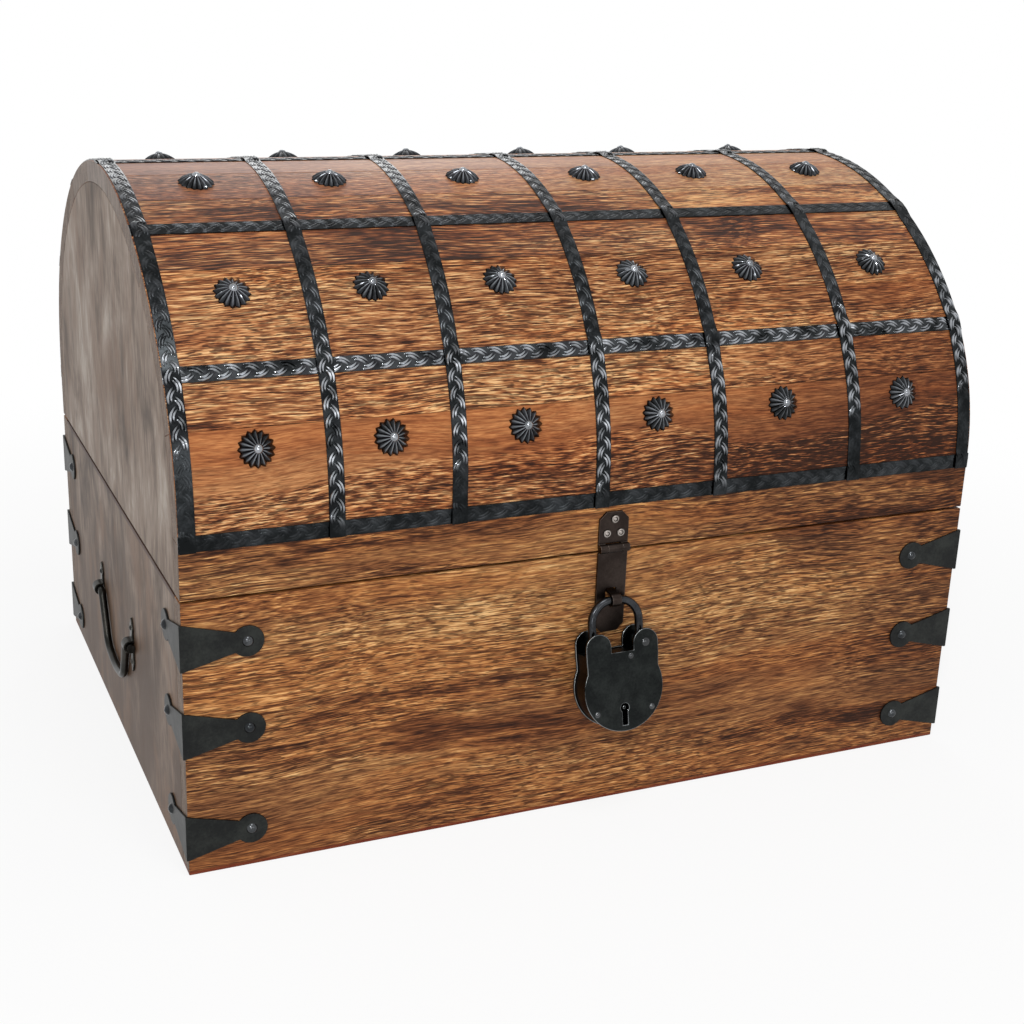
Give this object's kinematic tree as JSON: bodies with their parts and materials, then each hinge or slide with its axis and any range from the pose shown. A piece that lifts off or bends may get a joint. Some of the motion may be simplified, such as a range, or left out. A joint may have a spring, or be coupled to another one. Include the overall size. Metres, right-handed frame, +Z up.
{
  "type": "treasure chest",
  "caption": "Wooden chest with a hinged barrel lid, iron straps, fluted studs, corner brackets, a slotted hasp with an eared padlock, and drop handles.",
  "frame": {"origin": "centre of the base, on the floor", "axes": "+Z up, the front with the hasp faces -Y, +X to the right as seen from the front"},
  "size_m": [0.5752, 0.467, 0.409],
  "materials": {
    "long_boards": "oiled, satin",
    "end_boards": "oiled, satin, greyed",
    "bottom_board": "plain sawn",
    "strap_iron": "black, semi-gloss",
    "stud_iron": "black, semi-gloss",
    "bracket_iron": "black, matt",
    "hasp_iron": "brown-black, satin",
    "lock_steel": "gunmetal, satin",
    "handle_iron": "grey-black, satin",
    "hinge_iron": "black, satin"
  },
  "bodies": {
    "chest": {"front_panel": "long_boards", "back_panel": "long_boards", "left_panel": "end_boards", "right_panel": "end_boards", "bottom_panel": "bottom_board", "hasp_staple": "hasp_iron", "front_left_brackets": "bracket_iron", "front_right_brackets": "bracket_iron", "back_left_brackets": "bracket_iron", "back_right_brackets": "bracket_iron", "bracket_nails": "bracket_iron", "left_handle_plates": "handle_iron", "left_handle_nails": "handle_iron", "right_handle_plates": "handle_iron", "right_handle_nails": "handle_iron", "hinge_body_leaves": "hinge_iron", "hinge_body_screws": "hinge_iron", "hinge_pins": "hinge_iron"},
    "lid": {"lid_front_rail": "long_boards", "lid_back_rail": "long_boards", "lid_left_end": "end_boards", "lid_right_end": "end_boards", "stave_01": "long_boards", "stave_02": "long_boards", "stave_03": "long_boards", "stave_04": "long_boards", "stave_05": "long_boards", "stave_06": "long_boards", "stave_07": "long_boards", "stave_08": "long_boards", "stave_09": "long_boards", "stave_10": "long_boards", "cross_straps": "strap_iron", "arch_strap_1": "strap_iron", "arch_strap_2": "strap_iron", "arch_strap_3": "strap_iron", "arch_strap_4": "strap_iron", "arch_strap_5": "strap_iron", "arch_strap_6": "strap_iron", "arch_strap_7": "strap_iron", "studs": "stud_iron", "stud_nails": "stud_iron", "hinge_lid_leaves": "hinge_iron", "hinge_lid_screws": "hinge_iron", "hasp_plate": "hasp_iron", "hasp_screws": "hasp_iron", "hasp_pin": "hasp_iron"},
    "hasp": {"hasp_leaf": "hasp_iron"},
    "shackle": {"padlock_shackle": "lock_steel"},
    "lock_case": {"padlock_front_plate": "lock_steel", "padlock_back_plate": "lock_steel", "padlock_rim": "lock_steel", "padlock_rivets": "lock_steel", "padlock_pivot": "lock_steel"},
    "bolt": {"lock_bolt": "lock_steel"},
    "left_handle": {"left_bail": "handle_iron"},
    "right_handle": {"right_bail": "handle_iron"}
  },
  "joints": [
    {"name": "lid_hinge", "type": "hinge", "parent": "chest", "child": "lid", "pos_m": [0, 0.2163, 0.18075], "axis": [-1, 0, 0], "range_deg": [0, 105]},
    {"name": "hasp_hinge", "type": "hinge", "parent": "lid", "child": "hasp", "pos_m": [0, -0.21535, 0.1836], "axis": [-1, 0, 0], "range_deg": [0, 157.5]},
    {"name": "padlock_swing", "type": "hinge", "parent": "chest", "child": "shackle", "pos_m": [0, -0.2201, 0.1495], "axis": [-1, 0, 0], "range_deg": [0, 70]},
    {"name": "padlock_open", "type": "hinge", "parent": "shackle", "child": "lock_case", "pos_m": [0.017, -0.22603, 0.12162], "axis": [0, -0.9781, 0.2079], "range_deg": [0, 90]},
    {"name": "bolt_slide", "type": "slide", "parent": "lock_case", "child": "bolt", "axis": [-1, 0, 0], "range_m": [0, 0.004]},
    {"name": "left_handle_hinge", "type": "hinge", "parent": "chest", "child": "left_handle", "pos_m": [-0.28305, 0, 0.09], "axis": [0, 1, 0], "range_deg": [0, 165]},
    {"name": "right_handle_hinge", "type": "hinge", "parent": "chest", "child": "right_handle", "pos_m": [0.28305, 0, 0.09], "axis": [0, -1, 0], "range_deg": [0, 165]}
  ],
  "couplings": [
    {"joint": "hasp_hinge", "follows": "lid_hinge", "ratio": 1.5}
  ]
}
